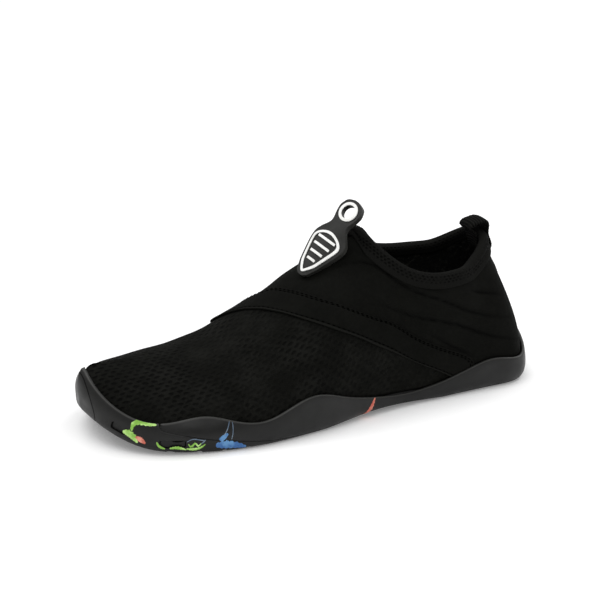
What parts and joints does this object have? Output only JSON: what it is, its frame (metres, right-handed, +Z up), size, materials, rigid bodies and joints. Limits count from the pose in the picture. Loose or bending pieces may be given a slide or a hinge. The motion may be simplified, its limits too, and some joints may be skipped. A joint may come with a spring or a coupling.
{
  "type": "water shoe",
  "caption": "Low slip-on water shoe for the left foot, with a fabric upper, elastic collar, pull tab, heel loop and a rubber sole that turns up at the toe.",
  "frame": {"origin": "middle of the box around the whole shoe, on the floor that the sole stands on", "axes": "+X towards the toe, +Y towards the shoe's outer side, +Z up"},
  "size_m": [0.2674, 0.1004, 0.1142],
  "materials": {
    "dark_mesh": "matt mesh",
    "smooth_knit": "smooth stretch knit",
    "elastic": "ribbed elastic",
    "webbing": "ribbed webbing",
    "sole_rubber": "satin",
    "wall_rubber": "satin",
    "tab_rubber": "satin",
    "white_print": "matt print",
    "foam": "matt fabric over foam"
  },
  "bodies": {
    "root": {"upper": "dark_mesh", "outsole": "sole_rubber", "sidewall": "wall_rubber", "insole": "foam", "saddle_band": "smooth_knit", "collar_binding": "elastic", "heel_tape": "webbing", "pull_tab": "tab_rubber", "tab_ring": "white_print", "tab_frame": "white_print", "tab_bar_1": "white_print", "tab_bar_2": "white_print", "tab_bar_3": "white_print", "tab_bar_4": "white_print"}
  },
  "joints": []
}
